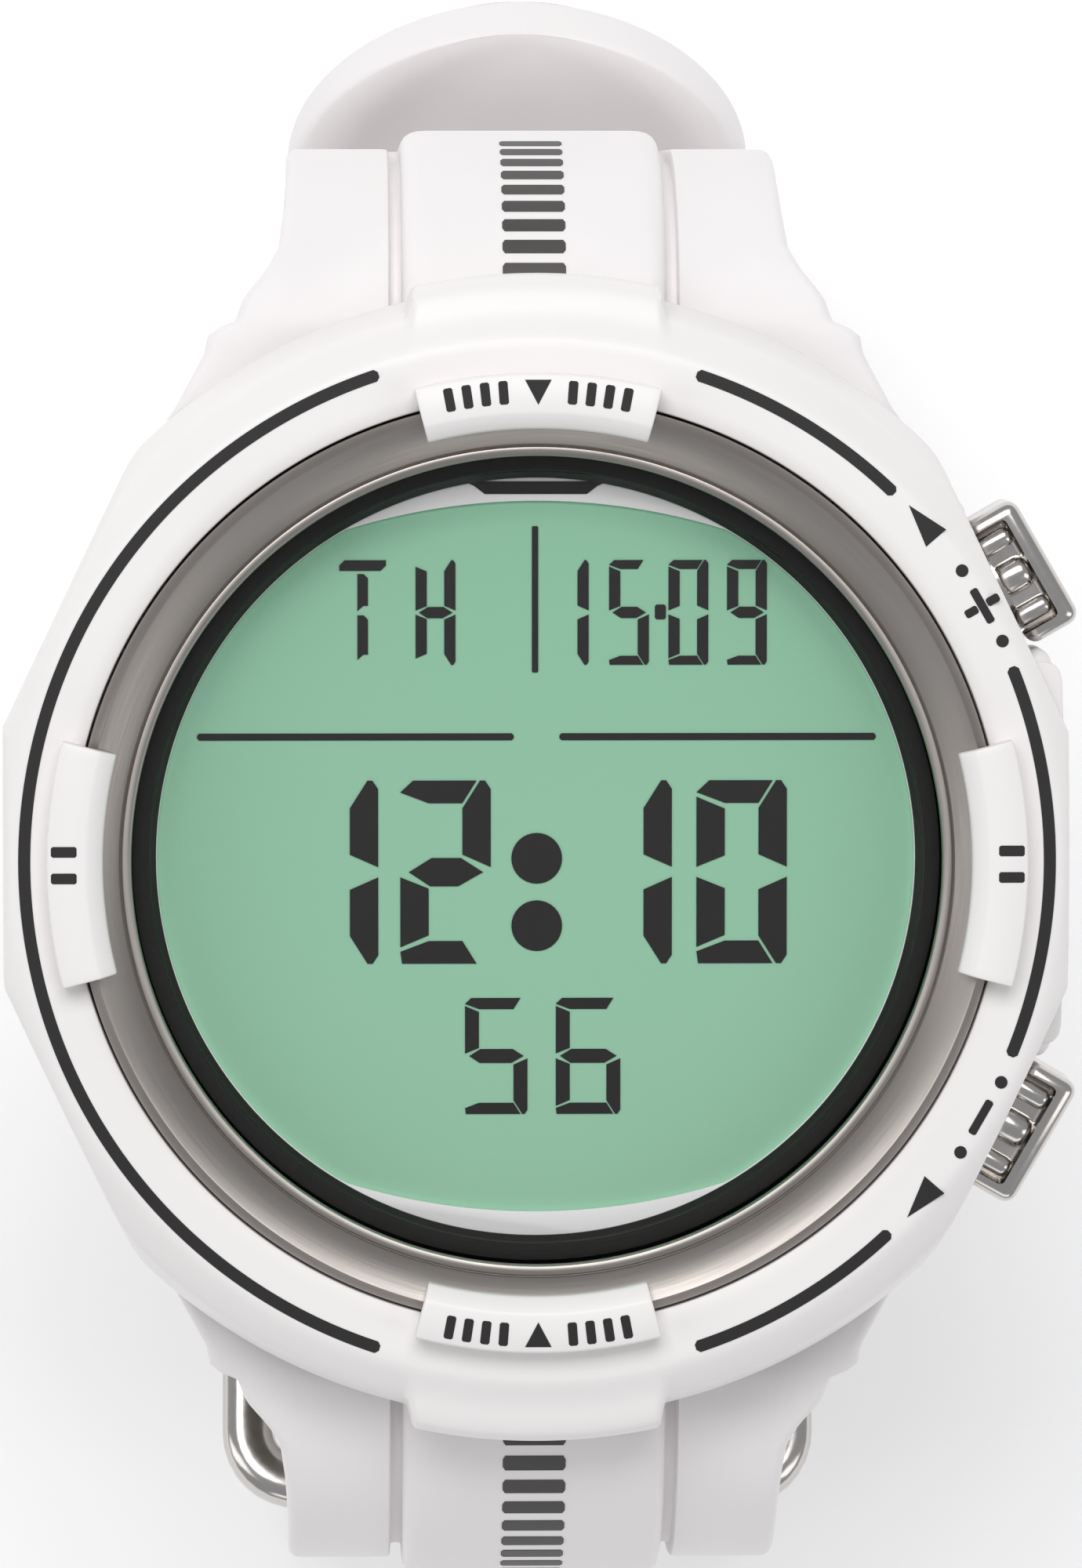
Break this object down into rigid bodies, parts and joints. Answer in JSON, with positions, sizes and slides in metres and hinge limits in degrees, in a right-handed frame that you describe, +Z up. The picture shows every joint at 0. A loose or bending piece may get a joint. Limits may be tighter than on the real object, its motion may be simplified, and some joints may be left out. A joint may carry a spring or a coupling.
{
  "type": "dive computer",
  "caption": "Wrist dive computer: round case with slanted sides, steel ring, segment display, radial push buttons and a closed rubber strap.",
  "frame": {"origin": "middle of the fixed keeper's underside, on the surface the watch stands on", "axes": "+Z up through the display, +Y towards 12 o'clock, +X towards 3 o'clock, where the buttons are"},
  "size_m": [0.051, 0.0779, 0.0605],
  "materials": {
    "white_case": "satin moulded technopolymer",
    "white_bezel": "satin moulded",
    "white_strap": "matt elastomer",
    "black_print": "matt inlay",
    "grey_print": "matt print",
    "brushed_ring": "brushed round the ring",
    "polished_steel": "polished",
    "plain_steel": "turned",
    "black_ring": "satin",
    "lens_glass": "clear",
    "mask_plate": "matt",
    "lcd_green": "matt",
    "grey_back": "matt",
    "seal_rubber": "matt",
    "frame_plastic": "matt",
    "dark_frame": "matt",
    "board_green": "solder mask",
    "chip_black": "matt",
    "gold_contact": "gold plated",
    "cell_steel": "nickel plated",
    "light_plate": "clear"
  },
  "bodies": {
    "watch_case": {"case_body": "white_case", "case_back": "grey_back", "case_back_seal": "seal_rubber", "case_back_screws": "plain_steel", "bezel_cover": "white_bezel", "bezel_marks": "black_print", "bezel_ring": "brushed_ring", "chapter_ring": "black_ring", "lens": "lens_glass", "lens_seal": "seal_rubber", "display_mask": "mask_plate", "lcd_panel": "lcd_green", "lcd_segments": "black_print", "backlight_plate": "light_plate", "zebra_strips": "seal_rubber", "display_frame": "frame_plastic", "battery_frame": "dark_frame", "circuit_board": "board_green", "board_chips": "chip_black", "board_screws": "plain_steel", "button_switches": "plain_steel", "pressure_sensor": "plain_steel", "sensor_seal": "seal_rubber", "sensor_grille": "plain_steel", "buzzer": "gold_contact", "wet_contacts": "gold_contact", "battery": "cell_steel", "battery_contacts": "gold_contact", "select_spring": "plain_steel", "escape_spring": "plain_steel", "button_bushings": "plain_steel", "lug_pin_upper": "plain_steel", "lug_pin_lower": "plain_steel"},
    "select_button": {"select_button": "polished_steel", "select_seal": "seal_rubber", "select_clip": "plain_steel"},
    "escape_button": {"escape_button": "polished_steel", "escape_seal": "seal_rubber", "escape_clip": "plain_steel"},
    "battery_cap": {"battery_cap": "grey_back", "battery_cap_seal": "seal_rubber"},
    "long_strap": {"strap_long": "white_strap", "strap_marks_lower": "grey_print"},
    "short_strap": {"strap_short": "white_strap", "strap_marks_upper": "grey_print", "buckle_pin": "plain_steel", "fixed_keeper": "white_strap"},
    "buckle": {"buckle_frame": "polished_steel"},
    "prong": {"buckle_prong": "polished_steel"},
    "keeper": {"sliding_keeper": "white_strap"}
  },
  "joints": [
    {"name": "select_button_press", "type": "slide", "parent": "watch_case", "child": "select_button", "axis": [-0.866, -0.5, 0], "range_m": [0, 0.001], "stiffness_N_per_m": 1500, "springref_m": -0.0005, "deforming": ["select_spring"]},
    {"name": "escape_button_press", "type": "slide", "parent": "watch_case", "child": "escape_button", "axis": [-0.866, 0.5, 0], "range_m": [0, 0.001], "stiffness_N_per_m": 1500, "springref_m": -0.0005, "deforming": ["escape_spring"]},
    {"name": "battery_cap_turn", "type": "hinge", "parent": "watch_case", "child": "battery_cap", "pos_m": [0, 0, 0.045], "axis": [0, 0, 1], "range_deg": [0, 45]},
    {"name": "strap_long_swing", "type": "hinge", "parent": "watch_case", "child": "long_strap", "pos_m": [0, -0.0227, 0.0496], "axis": [1, 0, 0], "range_deg": [-50, 0], "deforming": ["strap_long", "strap_marks_lower"]},
    {"name": "strap_short_swing", "type": "hinge", "parent": "watch_case", "child": "short_strap", "pos_m": [0, 0.0227, 0.0496], "axis": [1, 0, 0], "range_deg": [0, 25], "deforming": ["strap_short", "strap_marks_upper"]},
    {"name": "buckle_pivot", "type": "hinge", "parent": "short_strap", "child": "buckle", "pos_m": [0, -0.02022, 0.00668], "axis": [1, 0, 0], "range_deg": [0, 20]},
    {"name": "prong_pivot", "type": "hinge", "parent": "short_strap", "child": "prong", "pos_m": [0, -0.02022, 0.00668], "axis": [1, 0, 0], "range_deg": [0, 40]},
    {"name": "keeper_slide", "type": "slide", "parent": "short_strap", "child": "keeper", "axis": [0, 1, 0], "range_m": [-0.0022, 0.0032]}
  ],
  "couplings": [
    {"joint": "strap_short_swing", "follows": "strap_long_swing", "ratio": -0.5},
    {"joint": "buckle_pivot", "follows": "strap_long_swing", "ratio": -0.4},
    {"joint": "prong_pivot", "follows": "strap_long_swing", "ratio": -0.8}
  ]
}
